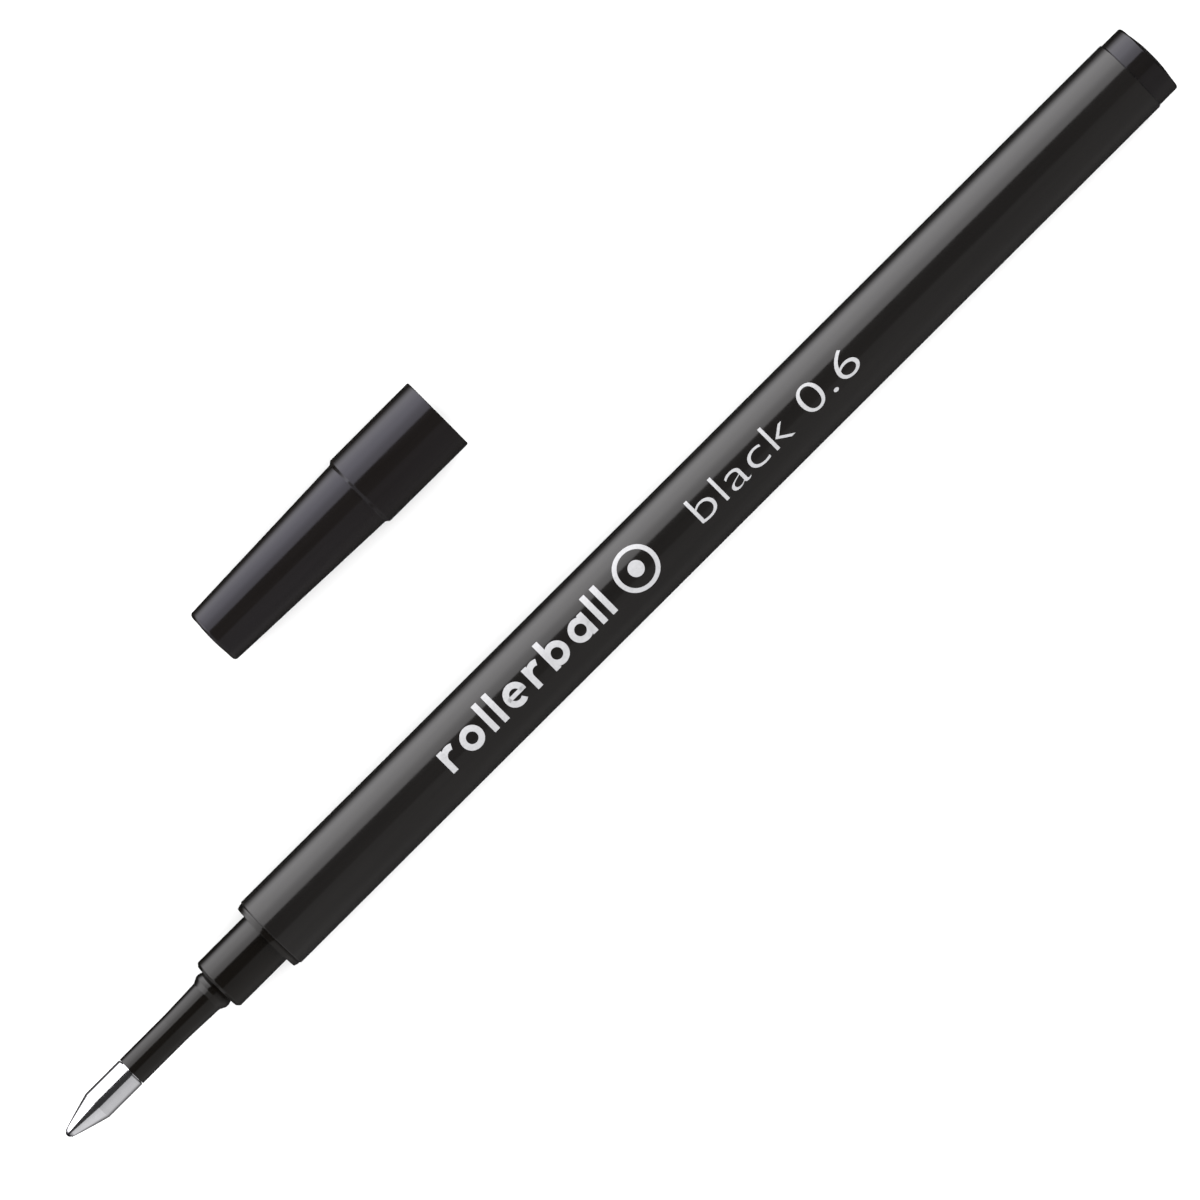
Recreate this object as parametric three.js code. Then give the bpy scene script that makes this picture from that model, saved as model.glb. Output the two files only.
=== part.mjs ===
// Liquid-ink rollerball refill lying on a surface, its protective cap lying beside it.
// Millimetres, +Z up, writing tip toward -X, cap on the +Y side.
// Origin: middle of the whole part in X and Y, on the surface it lies on.
import * as THREE from 'three';

// ---- facets ---------------------------------------------------------------
const FACETS = 48;            // round every turned piece
const BALL_FACETS = 24;       // round the ball
const BALL_RINGS = 14;        // pole to pole on the ball
const ARC_STEPS = 4;          // along each rounded edge
const SEAT_STEPS = 6;         // along the ball seat

// ---- lengths along the refill, tip to rear --------------------------------
const TIP_LENGTH = 6.56;      // ball and metal, as far as the slim tube
const HOLDER_LENGTH = 7.7;    // slim tube ahead of its collar
const COLLAR_LENGTH = 0.86;
const GROOVE_WIDTH = 0.18;    // open groove between collar and sleeve
const SLEEVE_LENGTH = 4.98;
const FLANGE_LENGTH = 0.47;
const BARREL_LENGTH = 87.65;
const PLUG_LENGTH = 2.1;      // part of the plug outside the barrel

// ---- ball and metal tip ---------------------------------------------------
const BALL_DIA = 0.6;
const BALL_SHOW = 0.2;        // how far the ball stands out of the lip
const SEAT_CLEARANCE = 0.02;
const LIP_WALL = 0.031;       // metal left round the ball at the lip
const NOSE_LENGTH = 0.7;      // steeper first part of the cone
const NOSE_DIA = 1.12;
const CONE_LENGTH = 3.1;      // ball front to the end of the cone
const TIP_TAIL = 3.6;         // metal hidden inside the slim tube
const INK_CHANNEL_DIA = 0.3;
const INK_CHANNEL_END = 1.3;
const INK_CHANNEL_FLARE = 0.75;

// ---- slim tube that carries the metal tip ---------------------------------
const HOLDER_DIA = 2.4;
const HOLDER_WALL = 0.29;     // round the tail of the metal tip
const HOLDER_STRAIGHT = 4.3;
const HOLDER_FLARE = 0.11;    // radial growth toward the collar
const COLLAR_STEP = 0.24;     // radial step from the tube up to the collar
const COLLAR_RISE = 0.45;     // length of the slope up to the collar
const NECK_DIA = 2.5;         // hidden in the sleeve
const NECK_LENGTH = 3.4;

// ---- front section --------------------------------------------------------
const SLEEVE_DIA = 4.38;
const SLEEVE_ROUND = 0.2;
const FLANGE_STEP = 0.09;     // flange rim below the barrel surface
const FLANGE_BEVEL = 0.12;
const SECTION_TAIL = 3.9;     // part pressed into the barrel

// ---- barrel and rear plug -------------------------------------------------
const BARREL_DIA = 6.15;
const BARREL_WALL = 0.42;
const BARREL_ROUND = 0.1;
const PLUG_STEP = 0.05;       // plug surface below the barrel surface
const PLUG_ROUND = 0.26;
const PLUG_BULGE = 0.22;      // rise of the end face over its rim
const PLUG_FLAT_DIA = 2.4;    // flat in the middle of the end face
const PLUG_TAIL = 3.6;        // part pressed into the barrel

// ---- ink store ------------------------------------------------------------
const FILM_THICKNESS = 0.12;
const FILM_OVERHANG = 0.2;
const STORE_END_ROOM = 0.4;   // between the store and the plug or section
const FEED_DIA = 1;
const FEED_NOSE_DIA = 0.2;
const FEED_NOSE_GAP = 0.12;   // between the feed rod and the ball
const FEED_INTO_STORE = 4;

// ---- cap ------------------------------------------------------------------
const CAP_LENGTH = 23.1;
const CAP_END_WALL = 1.45;    // thickness of the closed end
const CAP_MOUTH_WALL = 0.88;
const CAP_SKIRT_TAPER = 0.03; // radial growth from the step to the mouth
const CAP_SKIRT_LENGTH = 7.95;
const CAP_STEP_LENGTH = 0.4;
const CAP_STEP = 0.21;        // radial step down to the tapered part
const CAP_TAPER = 0.53;       // radial loss from the step to the closed end
const CAP_END_ROUND = 0.45;
const CAP_END_BULGE = 0.1;
const CAP_MOUTH_ROUND = 0.08;
const CAP_LEAD_IN = 0.15;
const CAP_TIP_ROOM = 0.2;     // round the collar inside the cap

// ---- placing --------------------------------------------------------------
const CAP_BESIDE = 18.04;     // between the two axes
const CAP_BACK = 32.7;        // ball front to the closed end of the cap

// ---- fits -----------------------------------------------------------------
const PRESS_CLEARANCE = 0.02;
const LOOSE_CLEARANCE = 0.05;
const CAP_CLEARANCE = 0.03;
const BUTT_GAP = 0.02;

// ---- stations along the refill, measured from the front of the ball -------
const holderFront = TIP_LENGTH + BUTT_GAP;
const collarFront = TIP_LENGTH + HOLDER_LENGTH;
const collarRear = collarFront + COLLAR_LENGTH;
const sleeveFront = collarRear + GROOVE_WIDTH;
const flangeFront = sleeveFront + SLEEVE_LENGTH;
const barrelFront = flangeFront + FLANGE_LENGTH;
const barrelRear = barrelFront + BARREL_LENGTH;
const totalLength = barrelRear + PLUG_LENGTH;
const tipTailEnd = TIP_LENGTH + TIP_TAIL;
const neckEnd = sleeveFront + NECK_LENGTH;
const sectionEnd = barrelFront + SECTION_TAIL;
const plugFront = barrelRear - PLUG_TAIL;
const storeFront = sectionEnd + STORE_END_ROOM;
const storeRear = plugFront - STORE_END_ROOM;
const feedFront = BALL_DIA + FEED_NOSE_GAP;
const feedRear = storeFront + FEED_INTO_STORE;

// ---- radii that follow from the fits --------------------------------------
const seatRadius = BALL_DIA / 2 + SEAT_CLEARANCE;
const tipTailRadius = HOLDER_DIA / 2 - HOLDER_WALL;
const holderRearRadius = HOLDER_DIA / 2 + HOLDER_FLARE;
const collarRadius = holderRearRadius + COLLAR_STEP;
const feedBoreRadius = FEED_DIA / 2 + LOOSE_CLEARANCE;
const barrelBoreRadius = BARREL_DIA / 2 - BARREL_WALL;
const barrelPressRadius = barrelBoreRadius - PRESS_CLEARANCE;
const filmOuterRadius = barrelBoreRadius - LOOSE_CLEARANCE;
const filmInnerRadius = filmOuterRadius - FILM_THICKNESS;
const storeRadius = filmInnerRadius - PRESS_CLEARANCE;
const capBoreRadius = SLEEVE_DIA / 2 + CAP_CLEARANCE;
const capTipRadius = collarRadius + CAP_TIP_ROOM;
const capMouthRadius = capBoreRadius + CAP_MOUTH_WALL;
const capSkirtRadius = capMouthRadius - CAP_SKIRT_TAPER;
const capStepRadius = capSkirtRadius - CAP_STEP;
const capEndRadius = capStepRadius - CAP_TAPER;

/** Points [along, radius] on an arc about [along, radius]; angle 0 points to the rear. */
function arc(along, radius, size, fromAngle, toAngle, steps) {
  const points = [];
  for (let i = 0; i <= steps; i += 1) {
    const angle = fromAngle + ((toAngle - fromAngle) * i) / steps;
    points.push([along + size * Math.cos(angle), radius + size * Math.sin(angle)]);
  }
  return points;
}

/** Quarter round at the front edge of a piece, from its face out to its side. */
function frontRound(along, radius, size) {
  return arc(along + size, radius - size, size, Math.PI, Math.PI / 2, ARC_STEPS);
}

/** Quarter round at the rear edge of a piece, from its side in to its face. */
function rearRound(along, radius, size) {
  return arc(along - size, radius - size, size, Math.PI / 2, 0, ARC_STEPS);
}

/** Shallow curved rise from one point to another, leaving at its steepest. */
function bulge(fromAlong, fromRadius, toAlong, toRadius) {
  const points = [];
  for (let i = 1; i <= ARC_STEPS; i += 1) {
    const part = i / ARC_STEPS;
    const along = fromAlong + (toAlong - fromAlong) * part * (2 - part);
    points.push([along, fromRadius + (toRadius - fromRadius) * part]);
  }
  return points;
}

/** Body turned about the X axis from a profile of [along, radius] points. */
function turned(profile) {
  const points = profile.map(([along, radius]) => new THREE.Vector2(radius, along));
  const geometry = new THREE.LatheGeometry(points, FACETS);
  geometry.rotateZ(-Math.PI / 2);
  return geometry;
}

/** Closed ring-shaped profile: the outside front to rear, then the inside rear to front. */
function hollow(outside, inside) {
  return turned([...outside, ...inside, outside[0]]);
}

function part(name, geometry, colour, roughness, metalness) {
  const material = new THREE.MeshStandardMaterial({ color: colour, roughness, metalness });
  const mesh = new THREE.Mesh(geometry, material);
  mesh.name = name;
  return mesh;
}

const BLACK = 0x161413;
const GLOSSY = 0.25;

function writingBall() {
  const geometry = new THREE.SphereGeometry(BALL_DIA / 2, BALL_FACETS, BALL_RINGS);
  geometry.translate(BALL_DIA / 2, 0, 0);
  return part('writing_ball', geometry, 0x3a3b3e, 0.2, 1);
}

function metalTip() {
  const centre = BALL_DIA / 2;
  const lipAngle = Math.acos((BALL_SHOW - centre) / seatRadius);
  const lipRadius = seatRadius * Math.sin(lipAngle) + LIP_WALL;
  const channelRadius = INK_CHANNEL_DIA / 2;
  const channelAngle = Math.asin(channelRadius / seatRadius);
  const outside = [
    [BALL_SHOW, lipRadius],
    [BALL_SHOW + NOSE_LENGTH, NOSE_DIA / 2],
    [CONE_LENGTH, HOLDER_DIA / 2],
    [TIP_LENGTH, HOLDER_DIA / 2],
    [TIP_LENGTH, tipTailRadius],
    [tipTailEnd, tipTailRadius],
  ];
  const inside = [
    [tipTailEnd, feedBoreRadius],
    [INK_CHANNEL_END + INK_CHANNEL_FLARE, feedBoreRadius],
    [INK_CHANNEL_END, channelRadius],
    ...arc(centre, 0, seatRadius, channelAngle, lipAngle, SEAT_STEPS),
  ];
  return part('metal_tip', hollow(outside, inside), 0xc9c9ce, 0.2, 1);
}

function tipHolder() {
  const socketRadius = tipTailRadius + PRESS_CLEARANCE;
  const outside = [
    [holderFront, HOLDER_DIA / 2],
    [TIP_LENGTH + HOLDER_STRAIGHT, HOLDER_DIA / 2],
    [collarFront, holderRearRadius],
    [collarFront + COLLAR_RISE, collarRadius],
    [collarRear, collarRadius],
    [collarRear, NECK_DIA / 2],
    [neckEnd, NECK_DIA / 2],
  ];
  const inside = [
    [neckEnd, feedBoreRadius],
    [tipTailEnd + BUTT_GAP, feedBoreRadius],
    [tipTailEnd + BUTT_GAP, socketRadius],
    [holderFront, socketRadius],
  ];
  return part('tip_holder', hollow(outside, inside), BLACK, GLOSSY, 0);
}

function frontSection() {
  const flangeRadius = BARREL_DIA / 2 - FLANGE_STEP;
  const socketRadius = NECK_DIA / 2 + PRESS_CLEARANCE;
  const outside = [
    ...frontRound(sleeveFront, SLEEVE_DIA / 2, SLEEVE_ROUND),
    [flangeFront, SLEEVE_DIA / 2],
    [flangeFront, flangeRadius - FLANGE_BEVEL],
    [flangeFront + FLANGE_BEVEL, flangeRadius],
    [barrelFront - BUTT_GAP, flangeRadius],
    [barrelFront - BUTT_GAP, barrelPressRadius],
    [sectionEnd, barrelPressRadius],
  ];
  const inside = [
    [sectionEnd, feedBoreRadius],
    [neckEnd + BUTT_GAP, feedBoreRadius],
    [neckEnd + BUTT_GAP, socketRadius],
    [sleeveFront, socketRadius],
  ];
  return part('front_section', hollow(outside, inside), BLACK, GLOSSY, 0);
}

function barrel() {
  const outside = [
    ...frontRound(barrelFront, BARREL_DIA / 2, BARREL_ROUND),
    ...rearRound(barrelRear, BARREL_DIA / 2, BARREL_ROUND),
  ];
  const inside = [
    [barrelRear, barrelBoreRadius],
    [barrelFront, barrelBoreRadius],
  ];
  return part('barrel', hollow(outside, inside), BLACK, GLOSSY, 0);
}

function rearPlug() {
  const radius = BARREL_DIA / 2 - PLUG_STEP;
  const rimAlong = totalLength - PLUG_BULGE;
  const geometry = turned([
    [plugFront, 0],
    [plugFront, barrelPressRadius],
    [barrelRear + BUTT_GAP, barrelPressRadius],
    [barrelRear + BUTT_GAP, radius],
    ...rearRound(rimAlong, radius, PLUG_ROUND),
    ...bulge(rimAlong, radius - PLUG_ROUND, totalLength, PLUG_FLAT_DIA / 2),
    [totalLength, 0],
  ]);
  return part('rear_plug', geometry, BLACK, GLOSSY, 0);
}

function feedRod() {
  const noseRadius = FEED_NOSE_DIA / 2;
  const geometry = turned([
    [feedFront, 0],
    [feedFront, noseRadius],
    [INK_CHANNEL_END, noseRadius],
    [INK_CHANNEL_END + INK_CHANNEL_FLARE, FEED_DIA / 2],
    [feedRear, FEED_DIA / 2],
    [feedRear, 0],
  ]);
  return part('feed_rod', geometry, 0x1a1a22, 0.5, 0);
}

function inkStore() {
  const socketRadius = FEED_DIA / 2 + PRESS_CLEARANCE;
  const geometry = turned([
    [feedRear + BUTT_GAP, 0],
    [feedRear + BUTT_GAP, socketRadius],
    [storeFront, socketRadius],
    [storeFront, storeRadius],
    [storeRear, storeRadius],
    [storeRear, 0],
  ]);
  return part('ink_store', geometry, 0x15161c, 0.9, 0);
}

function storeFilm() {
  const outside = [
    [storeFront - FILM_OVERHANG, filmOuterRadius],
    [storeRear + FILM_OVERHANG, filmOuterRadius],
  ];
  const inside = [
    [storeRear + FILM_OVERHANG, filmInnerRadius],
    [storeFront - FILM_OVERHANG, filmInnerRadius],
  ];
  return part('store_film', hollow(outside, inside), 0xd8d8d6, 0.3, 0);
}

/** Cap with its closed end at 0 and its mouth toward the rear. */
function cap() {
  const stepFront = CAP_LENGTH - CAP_SKIRT_LENGTH - CAP_STEP_LENGTH;
  const skirtFront = CAP_LENGTH - CAP_SKIRT_LENGTH;
  const sleeveDepth = CAP_LENGTH - SLEEVE_LENGTH - SLEEVE_ROUND;
  const geometry = turned([
    [0, 0],
    ...bulge(CAP_END_BULGE, capEndRadius - CAP_END_ROUND, 0, 0).reverse().slice(1),
    ...frontRound(CAP_END_BULGE, capEndRadius, CAP_END_ROUND),
    [stepFront, capStepRadius],
    [skirtFront, capSkirtRadius],
    ...rearRound(CAP_LENGTH, capMouthRadius, CAP_MOUTH_ROUND),
    [CAP_LENGTH, capBoreRadius + CAP_LEAD_IN],
    [CAP_LENGTH - CAP_LEAD_IN, capBoreRadius],
    [sleeveDepth, capBoreRadius],
    [sleeveDepth, capTipRadius],
    [CAP_END_WALL, capTipRadius],
    [CAP_END_WALL, 0],
  ]);
  return part('cap', geometry, 0x151418, GLOSSY, 0);
}

/** The refill, its axis along X and half the barrel above the surface. */
function refill() {
  const group = new THREE.Group();
  group.name = 'refill';
  group.add(writingBall(), metalTip(), tipHolder(), frontSection(), barrel());
  group.add(rearPlug(), feedRod(), inkStore(), storeFilm());
  group.position.set(-totalLength / 2, 0, BARREL_DIA / 2);
  return group;
}

/** The cap on the same surface, pulled off and laid parallel to the refill. */
function capBeside() {
  const group = new THREE.Group();
  group.name = 'cap_beside';
  group.add(cap());
  group.position.set(CAP_BACK - totalLength / 2, CAP_BESIDE, capMouthRadius);
  return group;
}

const part3d = new THREE.Group();
part3d.name = 'rollerball_refill';
part3d.add(refill(), capBeside());
part3d.position.y = (BARREL_DIA / 2 - CAP_BESIDE - capMouthRadius) / 2;

export default part3d;
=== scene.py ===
"""A liquid-ink rollerball refill lying on a pale surface with its protective cap pulled off beside it.

Every visible piece is a turned surface: a profile of (distance along the axis, radius) carried round
the axis. Distances along the refill are measured from the front of the ball, in millimetres.
"""
import math

import bmesh
import bpy
import numpy as np
from mathutils import Matrix, Vector


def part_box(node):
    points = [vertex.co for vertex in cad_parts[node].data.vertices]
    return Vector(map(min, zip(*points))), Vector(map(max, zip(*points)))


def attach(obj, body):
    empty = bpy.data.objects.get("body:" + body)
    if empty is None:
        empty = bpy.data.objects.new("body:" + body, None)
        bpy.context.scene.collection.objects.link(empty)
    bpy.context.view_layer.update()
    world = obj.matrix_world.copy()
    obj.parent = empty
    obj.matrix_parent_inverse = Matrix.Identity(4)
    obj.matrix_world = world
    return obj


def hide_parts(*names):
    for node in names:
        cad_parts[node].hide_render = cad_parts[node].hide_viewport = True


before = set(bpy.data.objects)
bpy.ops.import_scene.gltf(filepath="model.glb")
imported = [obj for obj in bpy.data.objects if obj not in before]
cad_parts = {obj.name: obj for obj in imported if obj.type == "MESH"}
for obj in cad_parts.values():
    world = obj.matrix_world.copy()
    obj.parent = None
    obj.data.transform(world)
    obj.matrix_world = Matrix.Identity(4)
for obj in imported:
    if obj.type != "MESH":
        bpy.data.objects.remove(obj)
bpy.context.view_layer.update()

MM = 0.001
AROUND = 224                # faces round a turned piece
AROUND_BALL = 80
FILLET_STEPS = 6            # faces along a rounded edge
SHARP = math.radians(38)    # an edge that turns more than this is shaded as a crease
HOLD = 0.025                # from an edge to the ring of faces that holds it, in millimetres


# ---- where things are, from the frame --------------------------------------------------------
def ends(node):
    """First and last point along X and the radius of a turned CAD node, in millimetres."""
    low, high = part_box(node)
    return low.x / MM, high.x / MM, (high.z - low.z) / 2 / MM


def axis_of(node):
    """(y, z) of a turned CAD node's axis, in metres."""
    low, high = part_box(node)
    return (low.y + high.y) / 2, (low.z + high.z) / 2


REFILL_AXIS = axis_of("barrel")
CAP_AXIS = axis_of("cap")

BALL_FRONT, BALL_BACK, BALL_RADIUS = ends("writing_ball")
LIP_X, TIP_TAIL_END, TIP_RADIUS = ends("metal_tip")
HOLDER_FRONT, NECK_END, COLLAR_RADIUS = ends("tip_holder")
SLEEVE_FRONT, SECTION_END, FLANGE_RADIUS = ends("front_section")
BARREL_FRONT, BARREL_REAR, BARREL_RADIUS = ends("barrel")
PLUG_FRONT, REFILL_END, PLUG_RADIUS = ends("rear_plug")
CAP_END, CAP_MOUTH, CAP_MOUTH_RADIUS = ends("cap")

# ---- sizes that no box gives, in millimetres --------------------------------------------------
BUTT_GAP = 0.02
SEAT_CLEARANCE = 0.02
LIP_RADIUS = 0.336
CONE_END = BALL_FRONT + 3.1
CONE_BOW = 0.93             # power that the cone's radius grows by; 1 would be a straight cone
HOLDER_GROOVE = 0.06        # fine groove between metal and holder
TIP_SHOULDER = HOLDER_FRONT - HOLDER_GROOVE
TIP_TAIL_RADIUS = 0.91
FEED_BORE_RADIUS = 0.55
INKED_LIP = 0.45            # length of the lip that ink darkens
CHANNEL_RADIUS = 0.15
CHANNEL_END = BALL_FRONT + 1.3
CHANNEL_FLARE = 0.75

HOLDER_STRAIGHT = 4.3
HOLDER_FLARE_BOW = 1.25
HOLDER_REAR_RADIUS = 1.31
COLLAR_FRONT = BALL_FRONT + 14.24
COLLAR_REAR = BALL_FRONT + 14.95
GROOVE_RADIUS = 1.45
COLLAR_RISE = 0.48
COLLAR_ROUND = 0.22
NECK_RADIUS = 1.25

SLEEVE_RADIUS = 2.19
SLEEVE_BEVEL = 0.24
SLEEVE_BEVEL_RUN = 0.216
FLANGE_FRONT = BALL_FRONT + 20.28
FLANGE_BEVEL = 0.1
FLANGE_BEVEL_RUN = 0.3
BARREL_WALL = 0.42
PRESS_CLEARANCE = 0.02
EDGE_ROUND = 0.1
FINE_ROUND = 0.04
SHOULDER_ROUND = 0.09

PLUG_SET_IN = 0.035         # plug surface below its CAD surface
PLUG_EDGE = 0.28
PLUG_RIM = 1.5 * PLUG_EDGE  # where the dome of the end face starts, in from the plug's surface
PLUG_BULGE = 0.22
PLUG_FLAT_RADIUS = 1.2

CAP_SKIRT = 7.95
CAP_STEP_RUN = 0.24
CAP_SKIRT_RADIUS = 3.07
CAP_STEP_RADIUS = 2.86
CAP_END_RADIUS = 2.33
CAP_STEP_ROUND = 0.1
CAP_END_EDGE = 0.5
CAP_END_RIM = 1.2 * CAP_END_EDGE
CAP_END_BULGE = 0.1
CAP_END_WALL = 1.45
CAP_BORE_RADIUS = 2.22
CAP_BORE_DEPTH = 5.18
CAP_TIP_RADIUS = 1.75
CAP_LEAD_IN = 0.15


# ---- profiles ----------------------------------------------------------------------------------
def rounded(corners, steps=FILLET_STEPS):
    """A profile through corners (along, radius, rounding), each rounded corner replaced by the arc of
    that radius that touches both of its sides."""
    points = []
    for i, corner in enumerate(corners):
        here = np.array(corner[:2], float)
        size = corner[2] if len(corner) > 2 else 0
        if not size or i in (0, len(corners) - 1):
            points.append(here)
            continue
        back = np.array(corners[i - 1][:2], float) - here
        on = np.array(corners[i + 1][:2], float) - here
        back_length, on_length = np.linalg.norm(back), np.linalg.norm(on)
        back, on = back / back_length, on / on_length
        half = math.acos(np.clip(back @ on, -1, 1)) / 2
        reach = min(size / math.tan(half), 0.49 * back_length, 0.49 * on_length)
        size = reach * math.tan(half)
        middle = here + (back + on) / np.linalg.norm(back + on) * size / math.sin(half)
        start, finish = here + back * reach - middle, here + on * reach - middle
        sweep = math.acos(np.clip(start @ finish / size**2, -1, 1))
        turn = np.sign(start[0] * finish[1] - start[1] * finish[0])
        for a in np.linspace(0, sweep, steps + 1) * turn:
            spin = np.array([[math.cos(a), -math.sin(a)], [math.sin(a), math.cos(a)]])
            points.append(middle + spin @ start)
    return np.array(points)


def curve(start, finish, power, steps):
    """Profile points between two points, where the radius changes as (share of the way) to a power."""
    share = np.linspace(0, 1, steps + 1)
    along = start[0] + (finish[0] - start[0]) * share
    radius = start[1] + (finish[1] - start[1]) * share**power
    return np.column_stack([along, radius])


def dome(rim_x, rim_radius, top_x, top_radius, steps):
    """Profile points of a shallow dome from its rim to its top: x follows 1 - (share of radius) squared."""
    share = np.linspace(0, 1, steps + 1)[1:]
    radius = rim_radius + (top_radius - rim_radius) * share
    bend = (rim_radius**2 - radius**2) / (rim_radius**2 - top_radius**2)
    return np.column_stack([rim_x + (top_x - rim_x) * bend, radius])


def along_edges(*runs):
    """One profile out of several runs of points, without points that repeat the one before."""
    points = np.vstack([np.atleast_2d(np.array(run, float)) for run in runs])
    step = np.linalg.norm(np.diff(points, axis=0), axis=1)
    return points[np.concatenate([[True], step > 1e-6])]


def held(profile):
    """The profile with a point close to each end of every long stretch, so that smooth shading turns
    only at the edges and leaves the stretch between them straight."""
    points = [profile[0]]
    for here, ahead in zip(profile, profile[1:]):
        way = ahead - here
        length = np.linalg.norm(way)
        if length > 4 * HOLD:
            points += [here + way * HOLD / length, ahead - way * HOLD / length]
        points.append(ahead)
    return np.array(points)


# ---- turned surfaces ---------------------------------------------------------------------------
def made(name, points, faces, material, body, replaced):
    """A finished mesh object: its normals, shading, material, CAD body and the CAD node it stands for."""
    mesh = bpy.data.meshes.new(name)
    mesh.from_pydata(points.tolist(), [], faces)
    mesh.update()
    mesh.shade_smooth()
    mesh.set_sharp_from_angle(angle=SHARP)
    mesh.materials.append(material)
    piece = bpy.data.objects.new(name, mesh)
    bpy.context.scene.collection.objects.link(piece)
    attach(piece, body)
    if replaced:
        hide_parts(replaced)
    return piece


def ring_faces(rows, around, wrap=False):
    """Quads between neighbouring rings of vertices; with wrap, the last ring joins the first."""
    i = np.arange(rows if wrap else rows - 1)[:, None] * around
    j = np.arange(around)[None, :]
    after = (i + around) % (rows * around)
    beside = (j + 1) % around
    return np.stack([i + j, i + beside, after + beside, after + j], -1).reshape(-1, 4).tolist()


def facing_out(profile):
    """The profile, reversed if need be so that it runs towards -X along its outer side: the faces that
    turned() makes of it then point outwards. The sign of the area that it encloses tells which."""
    ahead = np.roll(profile, -1, 0)
    area = (profile[:, 0] * ahead[:, 1] - ahead[:, 0] * profile[:, 1]).sum()
    return profile if area > 0 else profile[::-1]


def turned(name, profile, axis, material, body, replaced, around=AROUND):
    """Surface of revolution about a line parallel to X: point (i, j) lies at along_i, at radius_i from
    the axis, at angle j of a full turn. A profile that ends on the axis is closed there by one vertex;
    any other is a closed ring whose last point joins its first."""
    profile = facing_out(held(np.array(profile, float)))
    solid = profile[0, 1] < 1e-9
    rings = profile[1:-1] if solid else profile
    angle = np.tile(np.arange(around) * 2 * math.pi / around, len(rings))
    along = np.repeat(rings[:, 0], around)
    radius = np.repeat(rings[:, 1], around)
    points = np.column_stack([along, radius * np.sin(angle), radius * np.cos(angle)])
    faces = ring_faces(len(rings), around, wrap=not solid)
    if solid:
        first_pole, last_pole = len(points), len(points) + 1
        last_ring = (len(rings) - 1) * around
        here = np.arange(around)
        beside = (here + 1) % around
        first_cap = [np.full(around, first_pole), beside, here]
        last_cap = [np.full(around, last_pole), last_ring + here, last_ring + beside]
        faces += np.column_stack(first_cap).tolist() + np.column_stack(last_cap).tolist()
        points = np.vstack([points, [profile[0, 0], 0, 0], [profile[-1, 0], 0, 0]])
    points = points * MM + [0, axis[0], axis[1]]
    return made(name, points, faces, material, body, replaced)


# ---- materials ---------------------------------------------------------------------------------
class Finish:
    """A procedural material under construction: a Principled shader and helpers that feed its sockets."""

    def __init__(self, name):
        self.material = bpy.data.materials.new(name)
        self.material.use_nodes = True
        self.nodes, self.links = self.material.node_tree.nodes, self.material.node_tree.links
        self.shader = next(n for n in self.nodes if n.type == "BSDF_PRINCIPLED")
        self.place = self.nodes.new("ShaderNodeTexCoord").outputs["Object"]

    def set(self, **values):
        """Sets sockets of the shader itself; an underscore stands for a space in a socket's name."""
        for socket, value in values.items():
            self.shader.inputs[socket.replace("_", " ")].default_value = value

    def stretched(self, scale):
        """The place on the piece, with each direction scaled: a small factor draws a pattern out."""
        mapping = self.nodes.new("ShaderNodeMapping")
        mapping.inputs["Scale"].default_value = scale
        self.links.new(self.place, mapping.inputs["Vector"])
        return mapping.outputs["Vector"]

    def along(self):
        """Distance along the refill, in metres."""
        node = self.nodes.new("ShaderNodeSeparateXYZ")
        self.links.new(self.place, node.inputs["Vector"])
        return node.outputs["X"]

    def total(self, one, other):
        """The sum of two values."""
        node = self.nodes.new("ShaderNodeMath")
        node.operation = "ADD"
        self.links.new(one, node.inputs[0])
        self.links.new(other, node.inputs[1])
        return node.outputs["Value"]

    def noise(self, scale, detail=3.0, roughness=0.55, stretch=(1, 1, 1)):
        """Cloudy noise between 0 and 1; scale counts its clouds in a metre."""
        node = self.nodes.new("ShaderNodeTexNoise")
        node.inputs["Scale"].default_value = scale
        node.inputs["Detail"].default_value = detail
        node.inputs["Roughness"].default_value = roughness
        self.links.new(self.stretched(stretch), node.inputs["Vector"])
        return node.outputs["Fac"]

    def spread(self, value, low, high, out_low, out_high):
        """A value between low and high, mapped in a straight line to between out_low and out_high."""
        node = self.nodes.new("ShaderNodeMapRange")
        node.inputs["From Min"].default_value = low
        node.inputs["From Max"].default_value = high
        node.inputs["To Min"].default_value = out_low
        node.inputs["To Max"].default_value = out_high
        self.links.new(value, node.inputs["Value"])
        return node.outputs["Result"]

    def colours(self, value, stops):
        """Base colour along a ramp of stops (value, colour)."""
        node = self.nodes.new("ShaderNodeValToRGB")
        ramp = node.color_ramp
        while len(ramp.elements) < len(stops):
            ramp.elements.new(0.5)
        for element, (place, colour) in zip(ramp.elements, stops):
            element.position = place
            element.color = (*colour, 1)
        self.links.new(value, node.inputs["Fac"])
        self.links.new(node.outputs["Color"], self.shader.inputs["Base Color"])

    def roughness(self, value, low, high):
        """Roughness that varies between two bounds with a noise."""
        self.links.new(self.spread(value, 0.3, 0.7, low, high), self.shader.inputs["Roughness"])

    def bumps(self, *layers):
        """Stacks bumps (height, depth in metres), each on top of the one before."""
        under = None
        for height, depth in layers:
            node = self.nodes.new("ShaderNodeBump")
            node.inputs["Distance"].default_value = depth
            node.inputs["Strength"].default_value = 1.0
            self.links.new(height, node.inputs["Height"])
            if under:
                self.links.new(under, node.inputs["Normal"])
            under = node.outputs["Normal"]
        self.links.new(under, self.shader.inputs["Normal"])


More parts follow.
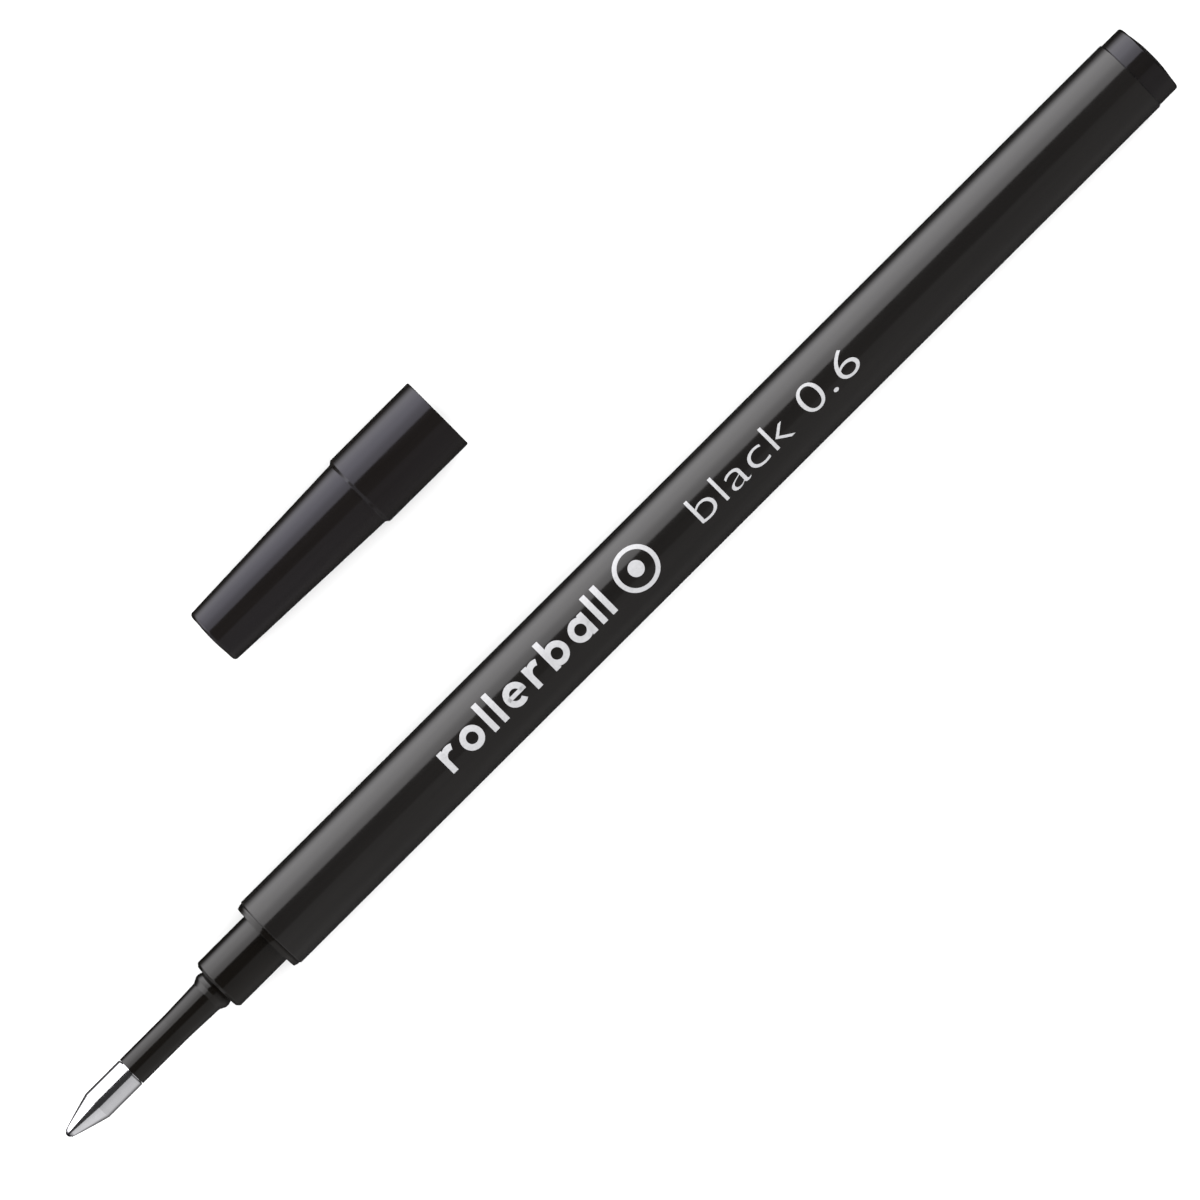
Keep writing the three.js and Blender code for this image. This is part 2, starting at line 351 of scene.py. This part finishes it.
def moulded_plastic(name, dark, light, gloss, rough, ripple, tint=(1.0, 1.0, 1.0)):
    """Glossy moulded plastic: faint flow streaks along the piece, fine orange peel and uneven gloss.
    The streaks run from dark to light, and ripple is the depth of the peel in metres."""
    finish = Finish(name)
    finish.set(IOR=1.5, Specular_IOR_Level=gloss, Specular_Tint=(*tint, 1.0))
    streaks = finish.noise(1400, 4, stretch=(0.05, 1, 1))
    peel = finish.noise(2600, 2)
    grain = finish.noise(9000, 2)
    finish.colours(streaks, [(0.3, dark), (0.7, light)])
    finish.roughness(finish.noise(900, 3), rough - 0.02, rough + 0.02)
    finish.bumps((peel, ripple), (streaks, ripple * 0.8), (grain, ripple * 0.2))
    return finish.material


def turned_steel():
    """Polished stainless steel with the fine rings that turning leaves round it, and ink on its lip."""
    finish = Finish("turned_steel")
    finish.set(Metallic=1.0, IOR=2.5)
    lip = finish.spread(finish.along(), LIP_X * MM, (LIP_X + INKED_LIP) * MM, 0.0, 0.5)
    clean = finish.spread(finish.noise(1800, 3), 0.0, 1.0, 0.0, 0.5)
    finish.colours(finish.total(lip, clean), [
        (0.25, (0.02, 0.02, 0.025)),
        (0.6, (0.90, 0.90, 0.93)),
        (0.85, (0.96, 0.96, 0.98)),
    ])
    rings = finish.noise(30000, 2, stretch=(1, 0.01, 0.01))
    finish.roughness(rings, 0.1, 0.15)
    finish.bumps((rings, 4e-8), (finish.noise(5000, 2), 1.5e-7))
    return finish.material


def inked_carbide():
    """The ball: dark hard metal, with a film of ink in patches."""
    finish = Finish("inked_ball")
    finish.set(Metallic=1.0)
    finish.colours(finish.noise(5200, 4), [(0.42, (0.003, 0.003, 0.004)), (0.62, (0.03, 0.03, 0.034))])
    finish.roughness(finish.noise(9000, 3), 0.16, 0.34)
    finish.bumps((finish.noise(24000, 3), 6e-7))
    return finish.material


def printed_silver():
    """Pad-printed light ink: slightly uneven, with a dry, fine-grained surface."""
    finish = Finish("printed_silver")
    finish.set(Metallic=0.15)
    finish.colours(finish.noise(5200, 5, 0.7), [(0.25, (0.30, 0.30, 0.31)), (0.6, (0.37, 0.37, 0.38))])
    finish.roughness(finish.noise(7000, 3), 0.42, 0.58)
    finish.bumps((finish.noise(16000, 3), 1.2e-6))
    return finish.material


def ink_fibre():
    """The store: fibres that run along the rod, dark with ink."""
    finish = Finish("ink_fibre")
    fibres = finish.noise(9000, 5, 0.7, stretch=(0.03, 1, 1))
    finish.colours(fibres, [(0.3, (0.004, 0.004, 0.008)), (0.75, (0.035, 0.035, 0.05))])
    finish.roughness(fibres, 0.75, 0.95)
    finish.bumps((fibres, 2.5e-5))
    return finish.material


def feed_fibre():
    """The feed rod: pressed fibre, denser and smoother than the store."""
    finish = Finish("feed_fibre")
    fibres = finish.noise(14000, 4, 0.6, stretch=(0.04, 1, 1))
    finish.colours(fibres, [(0.3, (0.008, 0.008, 0.014)), (0.7, (0.03, 0.03, 0.045))])
    finish.roughness(fibres, 0.45, 0.65)
    finish.bumps((fibres, 8e-6))
    return finish.material


def wrap_film():
    """The clear wrap round the store, with the fine creases of a rolled film."""
    finish = Finish("wrap_film")
    finish.set(IOR=1.5)
    creases = finish.noise(700, 3, stretch=(0.1, 1, 1))
    finish.colours(creases, [(0.3, (0.45, 0.45, 0.45)), (0.7, (0.6, 0.6, 0.59))])
    finish.roughness(creases, 0.15, 0.3)
    finish.bumps((creases, 2e-5))
    return finish.material


BARREL_PLASTIC = moulded_plastic(
    "barrel_plastic",
    dark=(0.0062, 0.0056, 0.0053),
    light=(0.0078, 0.0071, 0.0067),
    gloss=0.375,
    rough=0.14,
    ripple=0.6e-6,
)
FRONT_PLASTIC = moulded_plastic(
    "front_plastic",
    dark=(0.0030, 0.0024, 0.0019),
    light=(0.0042, 0.0035, 0.0028),
    gloss=0.338,
    rough=0.13,
    ripple=0.4e-6,
)
CAP_PLASTIC = moulded_plastic(
    "cap_plastic",
    dark=(0.0056, 0.0046, 0.0041),
    light=(0.0070, 0.0059, 0.0054),
    gloss=0.285,
    rough=0.14,
    ripple=0.6e-6,
    tint=(0.84, 0.84, 1.0),
)
PLUG_PLASTIC = moulded_plastic(
    "plug_plastic",
    dark=(0.0050, 0.0043, 0.0040),
    light=(0.0066, 0.0058, 0.0055),
    gloss=0.31,
    rough=0.12,
    ripple=0.4e-6,
    tint=(0.88, 0.88, 1.0),
)
STEEL = turned_steel()
BALL_METAL = inked_carbide()
PRINT_INK = printed_silver()


# ---- the refill's pieces -----------------------------------------------------------------------
def writing_ball():
    """A true sphere: its profile is half a circle."""
    centre = (BALL_FRONT + BALL_BACK) / 2
    turn = np.linspace(math.pi, 0, 41)
    profile = np.column_stack([centre + BALL_RADIUS * np.cos(turn), BALL_RADIUS * np.sin(turn)])
    profile[[0, -1], 1] = 0
    turned("ball", profile, REFILL_AXIS, BALL_METAL, "ball", "writing_ball", AROUND_BALL)


def metal_tip():
    """Slightly bowed cone rolled over the ball at its lip, then a short cylinder and a hidden tail."""
    centre = BALL_FRONT + BALL_RADIUS
    seat = BALL_RADIUS + SEAT_CLEARANCE
    lip_angle = math.acos((LIP_X - centre) / seat)
    seat_angle = np.linspace(math.asin(CHANNEL_RADIUS / seat), lip_angle, 15)
    outside = along_edges(
        curve((LIP_X, LIP_RADIUS), (CONE_END, TIP_RADIUS), CONE_BOW, 24)[:-1],
        rounded([
            (CONE_END - 0.05, TIP_RADIUS - 0.0135),
            (CONE_END, TIP_RADIUS, 0.15),
            (TIP_SHOULDER, TIP_RADIUS, SHOULDER_ROUND),
            (TIP_SHOULDER, TIP_TAIL_RADIUS),
            (TIP_TAIL_END, TIP_TAIL_RADIUS),
        ]),
    )
    inside = [
        (TIP_TAIL_END, FEED_BORE_RADIUS),
        (CHANNEL_END + CHANNEL_FLARE, FEED_BORE_RADIUS),
        (CHANNEL_END, CHANNEL_RADIUS),
    ]
    socket = np.column_stack([centre + seat * np.cos(seat_angle), seat * np.sin(seat_angle)])
    profile = along_edges(outside, inside, socket)
    turned("nib", profile, REFILL_AXIS, STEEL, "refill", "metal_tip")


def tip_holder():
    """Slim tube that widens a little, rises in a soft shoulder to its collar, and ends in a neck."""
    profile = along_edges(
        rounded([
            (HOLDER_FRONT, TIP_TAIL_RADIUS + PRESS_CLEARANCE),
            (HOLDER_FRONT, TIP_RADIUS, FINE_ROUND),
            (HOLDER_FRONT + HOLDER_STRAIGHT, TIP_RADIUS),
        ]),
        curve(
            (HOLDER_FRONT + HOLDER_STRAIGHT, TIP_RADIUS),
            (COLLAR_FRONT, HOLDER_REAR_RADIUS),
            HOLDER_FLARE_BOW,
            14,
        ),
        rounded([
            (COLLAR_FRONT - 0.2, HOLDER_REAR_RADIUS - 0.008),
            (COLLAR_FRONT, HOLDER_REAR_RADIUS, COLLAR_ROUND),
            (COLLAR_FRONT + COLLAR_RISE, COLLAR_RADIUS, COLLAR_ROUND),
            (COLLAR_REAR, COLLAR_RADIUS, 0.08),
            (SLEEVE_FRONT - BUTT_GAP, GROOVE_RADIUS),
            (SLEEVE_FRONT - BUTT_GAP, NECK_RADIUS),
            (NECK_END, NECK_RADIUS),
            (NECK_END, FEED_BORE_RADIUS),
            (TIP_TAIL_END + BUTT_GAP, FEED_BORE_RADIUS),
            (TIP_TAIL_END + BUTT_GAP, TIP_TAIL_RADIUS + PRESS_CLEARANCE),
        ])[1:],
    )
    turned("holder", profile, REFILL_AXIS, FRONT_PLASTIC, "refill", "tip_holder")


def front_section():
    """Bevelled sleeve and flange, with a tail pressed into the barrel."""
    tail = BARREL_RADIUS - BARREL_WALL - PRESS_CLEARANCE
    socket = NECK_RADIUS + PRESS_CLEARANCE
    profile = rounded([
        (SLEEVE_FRONT, socket),
        (SLEEVE_FRONT, SLEEVE_RADIUS - SLEEVE_BEVEL, 0.08),
        (SLEEVE_FRONT + SLEEVE_BEVEL_RUN, SLEEVE_RADIUS, 0.12),
        (FLANGE_FRONT, SLEEVE_RADIUS, 0.05),
        (FLANGE_FRONT, FLANGE_RADIUS - FLANGE_BEVEL, 0.03),
        (FLANGE_FRONT + FLANGE_BEVEL_RUN, FLANGE_RADIUS, 0.1),
        (BARREL_FRONT - BUTT_GAP, FLANGE_RADIUS, 0.02),
        (BARREL_FRONT - BUTT_GAP, tail),
        (SECTION_END, tail),
        (SECTION_END, FEED_BORE_RADIUS),
        (NECK_END + BUTT_GAP, FEED_BORE_RADIUS),
        (NECK_END + BUTT_GAP, socket),
    ])
    turned("front_sleeve", profile, REFILL_AXIS, FRONT_PLASTIC, "refill", "front_section")


def barrel():
    """Plain extruded tube with lightly rounded ends."""
    bore = BARREL_RADIUS - BARREL_WALL
    profile = rounded([
        (BARREL_FRONT, bore),
        (BARREL_FRONT, BARREL_RADIUS, EDGE_ROUND),
        (BARREL_REAR, BARREL_RADIUS, EDGE_ROUND * 0.7),
        (BARREL_REAR, bore),
    ])
    tube = turned("barrel_tube", profile, REFILL_AXIS, BARREL_PLASTIC, "refill", "barrel")
    tube.visible_glossy = False


def rear_plug():
    """Plug with a rounded edge and a shallow domed end that is flat in the middle."""
    tail = BARREL_RADIUS - BARREL_WALL - PRESS_CLEARANCE
    rim = REFILL_END - PLUG_BULGE
    radius = PLUG_RADIUS - PLUG_SET_IN
    profile = along_edges(
        [(PLUG_FRONT, 0)],
        rounded([
            (PLUG_FRONT, tail - 0.2),
            (PLUG_FRONT, tail, 0.15),
            (BARREL_REAR + BUTT_GAP, tail),
            (BARREL_REAR + BUTT_GAP, radius, 0.05),
            (rim, radius, PLUG_EDGE),
            (rim, radius - PLUG_RIM),
        ]),
        dome(rim, radius - PLUG_RIM, REFILL_END, PLUG_FLAT_RADIUS, 12),
        [(REFILL_END, 0)],
    )
    turned("end_plug", profile, REFILL_AXIS, PLUG_PLASTIC, "refill", "rear_plug")


def cap():
    """Tapered cap, domed at its closed end and stepped up to a plain skirt, with a stepped bore."""
    step = CAP_MOUTH - CAP_SKIRT
    rim = CAP_END + CAP_END_BULGE
    face = CAP_END_RADIUS - CAP_END_RIM
    profile = along_edges(
        dome(rim, face, CAP_END, 0, 12)[::-1],
        rounded([
            (rim, face),
            (rim, CAP_END_RADIUS, CAP_END_EDGE),
            (step - CAP_STEP_RUN, CAP_STEP_RADIUS, CAP_STEP_ROUND),
            (step, CAP_SKIRT_RADIUS, CAP_STEP_ROUND),
            (CAP_MOUTH, CAP_MOUTH_RADIUS, 0.12),
            (CAP_MOUTH, CAP_BORE_RADIUS + CAP_LEAD_IN, 0.03),
            (CAP_MOUTH - CAP_LEAD_IN, CAP_BORE_RADIUS, 0.05),
            (CAP_MOUTH - CAP_BORE_DEPTH, CAP_BORE_RADIUS, 0.05),
            (CAP_MOUTH - CAP_BORE_DEPTH, CAP_TIP_RADIUS, 0.05),
            (CAP_END + CAP_END_WALL, CAP_TIP_RADIUS, 0.3),
            (CAP_END + CAP_END_WALL, 0),
        ]),
    )
    shell = turned("protective_cap", profile, CAP_AXIS, CAP_PLASTIC, "cap", "cap")
    shell.visible_glossy = False


# ---- print on the barrel -----------------------------------------------------------------------
PRINT_DEPTH = 0.012
PRINT_LIFT = 0.006          # middle of the ink over the barrel, so that its underside just touches it
PRINT_CUTS = 30             # cuts that let a light letter bend round the barrel
STROKE_CUTS = 7             # points across a stroke of a bold letter, for the same
LIGHT_THINNING = -0.014     # of the size of the light letters, taken off their outline
CAPITAL_HEIGHT = 0.72       # of the size of the light letters
PRINT_BOTTOM = -1.24        # foot of the letters, from the barrel's top line
NAME_START, NAME_LENGTH, NAME_HEIGHT = 38.28, 16.7, 1.87
RING_PLACE, RING_INNER, RING_OUTER = 58.0, 1.42, 1.78
DOT_HOLE, DOT_RADIUS = 0.01, 0.62
SIZE_START, SIZE_LENGTH, SIZE_HEIGHT = 63.7, 16.25, 2.34


def wrapped(flat):
    """Points (along, across, up) laid on the barrel: across becomes arc length from the top line."""
    radius = BARREL_RADIUS + PRINT_LIFT + flat[:, 2]
    angle = flat[:, 1] / BARREL_RADIUS
    points = np.column_stack([flat[:, 0], radius * np.sin(angle), radius * np.cos(angle)])
    return points * MM + [0, REFILL_AXIS[0], REFILL_AXIS[1]]


def light_lettering(name, words, start, length, bottom, height):
    """Raised letters laid round the barrel: the flat letters are cut into strips along the barrel, then
    every point's distance across becomes an angle round it."""
    outline = bpy.data.curves.new(name, "FONT")
    outline.body = words
    outline.size = 1.0
    outline.offset = LIGHT_THINNING
    outline.extrude = 0.5
    outline.resolution_u = 8
    letters = bpy.data.objects.new(name, outline)
    bpy.context.scene.collection.objects.link(letters)
    bpy.context.view_layer.update()
    mesh = bpy.data.meshes.new_from_object(letters.evaluated_get(bpy.context.evaluated_depsgraph_get()))
    bpy.data.objects.remove(letters)
    bm = bmesh.new()
    bm.from_mesh(mesh)
    bmesh.ops.remove_doubles(bm, verts=bm.verts, dist=1e-5)
    low, high = min(v.co.y for v in bm.verts), max(v.co.y for v in bm.verts)
    for cut in np.linspace(low, high, PRINT_CUTS + 2)[1:-1]:
        every = bm.verts[:] + bm.edges[:] + bm.faces[:]
        bmesh.ops.bisect_plane(bm, geom=every, plane_co=(0, float(cut), 0), plane_no=(0, 1, 0))
    bmesh.ops.triangulate(bm, faces=bm.faces[:])
    bmesh.ops.recalc_face_normals(bm, faces=bm.faces[:])
    bm.to_mesh(mesh)
    bm.free()
    flat = np.empty(len(mesh.vertices) * 3)
    mesh.vertices.foreach_get("co", flat)
    flat = flat.reshape(-1, 3)
    faces = [list(face.vertices) for face in mesh.polygons]
    bpy.data.meshes.remove(mesh)
    flat[:, 0] = start + (flat[:, 0] - flat[:, 0].min()) * length / np.ptp(flat[:, 0])
    flat[:, 1] = bottom + flat[:, 1] * height / CAPITAL_HEIGHT
    flat[:, 2] = np.sign(flat[:, 2]) * PRINT_DEPTH / 2
    made(name, wrapped(flat), faces, PRINT_INK, "refill", None)


def stroke(path, width, closed=False):
    """Points and faces of a flat bar along a path in the plane of the print: a thin rectangular section
    stands across the path's direction at each of its points; a closed path joins its own start."""
    ahead, behind = np.roll(path, -1, 0), np.roll(path, 1, 0)
    if not closed:
        ahead[-1], behind[0] = path[-1], path[0]
    forward = (ahead - behind) / np.linalg.norm(ahead - behind, axis=1)[:, None]
    normal = np.column_stack([-forward[:, 1], forward[:, 0]])
    reach = np.linspace(-width / 2, width / 2, STROKE_CUTS)
    across = np.concatenate([reach, reach[::-1]])
    flat = path[None] + normal[None] * across[:, None, None]
    up = np.repeat([PRINT_DEPTH / 2, -PRINT_DEPTH / 2], STROKE_CUTS * len(path))
    points = np.column_stack([flat.reshape(-1, 2), up])
    around = len(path)
    faces = np.array(ring_faces(len(across), around, wrap=True))
    if closed:
        return points, faces
    faces = faces[(faces[:, 0] % around) != around - 1]
    row = np.arange(STROKE_CUTS - 1)
    end = np.column_stack([row, row + 1, len(across) - 2 - row, len(across) - 1 - row]) * around
    return points, np.vstack([faces, end, end[:, ::-1] + around - 1])


def printed(name, strokes):
    """One print piece out of flat strokes, each bent round the barrel as a closed solid of its own."""
    every_point, every_face, count = [], [], 0
    for flat, faces in strokes:
        every_point.append(wrapped(flat))
        every_face += (faces + count).tolist()
        count += len(flat)
    made(name, np.vstack(every_point), every_face, PRINT_INK, "refill", None)


# Bold small letters out of straight bars and round bowls. Lengths are shares of a small letter's
# height; each letter is its width and its strokes: (path, stroke width, closed).
BOLD = 0.255
CROSSBAR = 0.17
TALL = 1.4
BOWL = (1 - BOLD) / 2
LEFT, RIGHT = BOLD / 2, 1 - BOLD / 2


def bar(x0, y0, x1, y1, width=BOLD):
    """A straight stroke between two points."""
    return np.linspace((x0, y0), (x1, y1), 17), width, False


def bowl(start, finish):
    """Arc of the bowl between two angles in degrees; a full turn is a closed ring."""
    closed = finish - start == 360
    turn = np.radians(np.linspace(start, finish, 64, endpoint=not closed))
    return np.column_stack([0.5 + BOWL * np.cos(turn), 0.5 + BOWL * np.sin(turn)]), BOLD, closed


LETTERS = {
    "a": (1.0, [bowl(0, 360), bar(RIGHT, 0, RIGHT, 1)]),
    "b": (1.0, [bowl(0, 360), bar(LEFT, 0, LEFT, TALL)]),
    "e": (1.0, [bowl(-10, 306), bar(LEFT, 0.5, 0.985, 0.5, CROSSBAR)]),
    "l": (BOLD, [bar(LEFT, 0, LEFT, TALL)]),
    "o": (1.0, [bowl(0, 360)]),
    "r": (0.7, [bowl(62, 165), bar(LEFT, 0, LEFT, 1)]),
}


def bold_lettering(name, word, start, length, bottom, height):
    """Word in the bold small letters, spaced so that it fills the length given."""
    widths = [LETTERS[letter][0] * height for letter in word]
    space = (length - sum(widths)) / (len(word) - 1)
    strokes, place = [], start
    for letter, advance in zip(word, widths):
        for path, width, closed in LETTERS[letter][1]:
            strokes.append(stroke(path * height + [place, bottom], width * height, closed))
        place += advance + space
    printed(name, strokes)


def ring_mark(name, centre, inner, outer):
    """A flat ring round a point on the top line of the barrel."""
    turn = np.radians(np.arange(0, 360, 4))
    middle = (inner + outer) / 2
    path = np.column_stack([centre + middle * np.cos(turn), middle * np.sin(turn)])
    printed(name, [stroke(path, outer - inner, closed=True)])


# ---- the pieces inside -------------------------------------------------------------------------
def finish_inner_pieces():
    """The hidden CAD solids keep their shape and get their own finishes."""
    finishes = {"feed_rod": feed_fibre(), "ink_store": ink_fibre(), "store_film": wrap_film()}
    for node, material in finishes.items():
        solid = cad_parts[node]
        solid.data.materials.clear()
        solid.data.materials.append(material)
        solid.visible_glossy = False


# ---- surface, light and camera -----------------------------------------------------------------
FLOOR_SIZE = 6.0            # in metres, as is everything in this section
FLOOR_GREY = 0.8


def pale_floor():
    """A plain matt surface to lie on; it isn't mirrored in the gloss."""
    bpy.ops.mesh.primitive_plane_add(size=FLOOR_SIZE, location=(0, 0, 0))
    floor = bpy.context.object
    floor.name = "floor"
    material = bpy.data.materials.new("floor_white")
    material.use_nodes = True
    shader = material.node_tree.nodes["Principled BSDF"]
    shader.inputs["Base Color"].default_value = (FLOOR_GREY, FLOOR_GREY, FLOOR_GREY, 1)
    shader.inputs["Roughness"].default_value = 1.0
    shader.inputs["Specular IOR Level"].default_value = 0.0
    floor.data.materials.append(material)
    floor.visible_glossy = False


# Each light along the refill is given by its brightness at angles down from overhead, in degrees, and
# by a factor on it at places along X.
PANEL_RADIUS = 0.55
PANEL_STEPS = 61
KEY_STOPS = [(26, 2.7), (44, 3.3), (60, 4.7), (84, 5.0), (98, 4.4), (108, 2.7), (120, 0.6), (132, 0.0)]
KEY_GAINS = [(-4.0, 0.6), (-0.8, 0.9), (-0.3, 0.78), (-0.075, 0.78), (-0.052, 1.0), (0.7, 1.0)]
KEY_COLOUR = (1.0, 0.985, 1.0)
FILL_STOPS = [(22, 0.42), (60, 0.5), (105, 0.5), (125, 0.25), (140, 0.12), (165, 0.05)]
FILL_GAINS = [
    (-4.0, 0.6), (-0.8, 1.1), (-0.3, 1.3), (-0.1, 1.12), (-0.064, 1.05), (-0.046, 0.58), (0.7, 0.54),
]
FILL_COLOUR = (1.0, 0.995, 1.0)
END_LIGHT_X = -1.3
END_LIGHT_REACH = 1.2       # to both sides and below
END_LIGHT_TOP = 1.0
END_LIGHT_GLOW = 0.6
ROOM_SEEN = 2.2             # brightness of the room to the eye and to soft light
ROOM_MIRRORED = 0.03        # and to gloss


def soft_panel(name, side, stops, gains, colour):
    """A curved light along one side of the refill: an arc about the refill's axis, drawn out along X.
    Its brightness at a point is that of stops at its angle times that of gains at its X."""
    angle = np.linspace(stops[0][0], stops[-1][0], PANEL_STEPS)
    glow = np.interp(angle, *np.transpose(stops))
    along, gain = np.transpose(gains)
    y = REFILL_AXIS[0] + side * PANEL_RADIUS * np.sin(np.radians(angle))
    z = REFILL_AXIS[1] + PANEL_RADIUS * np.cos(np.radians(angle))
    rows = len(along)
    points = np.column_stack([np.repeat(along, PANEL_STEPS), np.tile(y, rows), np.tile(z, rows)])
    faces = [face for face in ring_faces(rows, PANEL_STEPS) if face[1] % PANEL_STEPS]
    glowing(name, points, faces, np.outer(gain, glow).ravel(), colour)


def end_light():
    """A dim upright sheet of light far ahead of the tip, for the metal cone to mirror from behind."""
    y = np.array([-END_LIGHT_REACH, END_LIGHT_REACH, END_LIGHT_REACH, -END_LIGHT_REACH])
    z = np.array([-END_LIGHT_REACH, -END_LIGHT_REACH, END_LIGHT_TOP, END_LIGHT_TOP])
    points = np.column_stack([np.full(4, END_LIGHT_X), y, z])
    glowing("end_light", points, [[0, 1, 2, 3]], np.full(4, END_LIGHT_GLOW), (1.0, 1.0, 1.0))


def glowing(name, points, faces, glow, colour):
    """A light out of a surface: it shines with the brightness stored at its points, is mirrored in
    gloss, and neither shows itself nor casts a shadow."""
    mesh = bpy.data.meshes.new(name)
    mesh.from_pydata(points.tolist(), [], faces)
    mesh.attributes.new("glow", "FLOAT", "POINT").data.foreach_set("value", glow)
    material = bpy.data.materials.new(name)
    material.use_nodes = True
    nodes, links = material.node_tree.nodes, material.node_tree.links
    nodes.clear()
    attribute = nodes.new("ShaderNodeAttribute")
    attribute.attribute_name = "glow"
    emission = nodes.new("ShaderNodeEmission")
    emission.inputs["Color"].default_value = (*colour, 1)
    links.new(attribute.outputs["Fac"], emission.inputs["Strength"])
    links.new(emission.outputs["Emission"], nodes.new("ShaderNodeOutputMaterial").inputs["Surface"])
    mesh.materials.append(material)
    panel = bpy.data.objects.new(name, mesh)
    bpy.context.scene.collection.objects.link(panel)
    panel.visible_camera = False
    panel.visible_shadow = False
    panel.visible_diffuse = False


def pale_room():
    """White all round for the eye and for soft light, dark where gloss would mirror it."""
    world = bpy.data.worlds.new("room")
    bpy.context.scene.world = world
    world.use_nodes = True
    nodes, links = world.node_tree.nodes, world.node_tree.links
    background = nodes["Background"]
    path = nodes.new("ShaderNodeLightPath")
    brightness = nodes.new("ShaderNodeMapRange")
    brightness.inputs["To Min"].default_value = ROOM_SEEN
    brightness.inputs["To Max"].default_value = ROOM_MIRRORED
    links.new(path.outputs["Is Glossy Ray"], brightness.inputs["Value"])
    background.inputs["Color"].default_value = (1, 1, 1, 1)
    links.new(brightness.outputs["Result"], background.inputs["Strength"])
    world.cycles.sampling_method = "NONE"


VIEW_WIDTH = 0.08664        # of what the camera sees at the refill's axis
VIEW_MIDDLE = (-0.00069, REFILL_AXIS[0] + 0.00023)
REFILL_TILT = 44.9          # degrees that the refill climbs to the right in the view
LENS = 400.0
SENSOR = 36.0


def camera():
    """Straight above, turned so that the refill runs from the lower left to the upper right."""
    data = bpy.data.cameras.new("camera")
    data.sensor_width = SENSOR
    data.lens = LENS
    data.clip_start = 0.05
    data.clip_end = 10.0
    tilt = math.radians(REFILL_TILT)
    right = Vector((math.cos(tilt), -math.sin(tilt), 0))
    up = Vector((-right.y, right.x, 0))
    turn = Matrix((right, up, Vector((0, 0, 1)))).transposed().to_4x4()
    height = REFILL_AXIS[1] + LENS / SENSOR * VIEW_WIDTH
    view = bpy.data.objects.new("camera", data)
    view.matrix_world = Matrix.Translation((*VIEW_MIDDLE, height)) @ turn
    bpy.context.scene.collection.objects.link(view)
    bpy.context.scene.camera = view


bpy.context.scene.view_settings.view_transform = "Standard"

writing_ball()
metal_tip()
tip_holder()
front_section()
barrel()
rear_plug()
cap()

bold_lettering("print_name", "rollerball", BALL_FRONT + NAME_START, NAME_LENGTH, PRINT_BOTTOM, NAME_HEIGHT)
ring_mark("print_ring", BALL_FRONT + RING_PLACE, RING_INNER, RING_OUTER)
ring_mark("print_dot", BALL_FRONT + RING_PLACE, DOT_HOLE, DOT_RADIUS)
light_lettering("print_size", "black 0.6", BALL_FRONT + SIZE_START, SIZE_LENGTH, PRINT_BOTTOM, SIZE_HEIGHT)
finish_inner_pieces()

pale_floor()
soft_panel("key_light", 1, KEY_STOPS, KEY_GAINS, KEY_COLOUR)
soft_panel("fill_light", -1, FILL_STOPS, FILL_GAINS, FILL_COLOUR)
end_light()
pale_room()
camera()
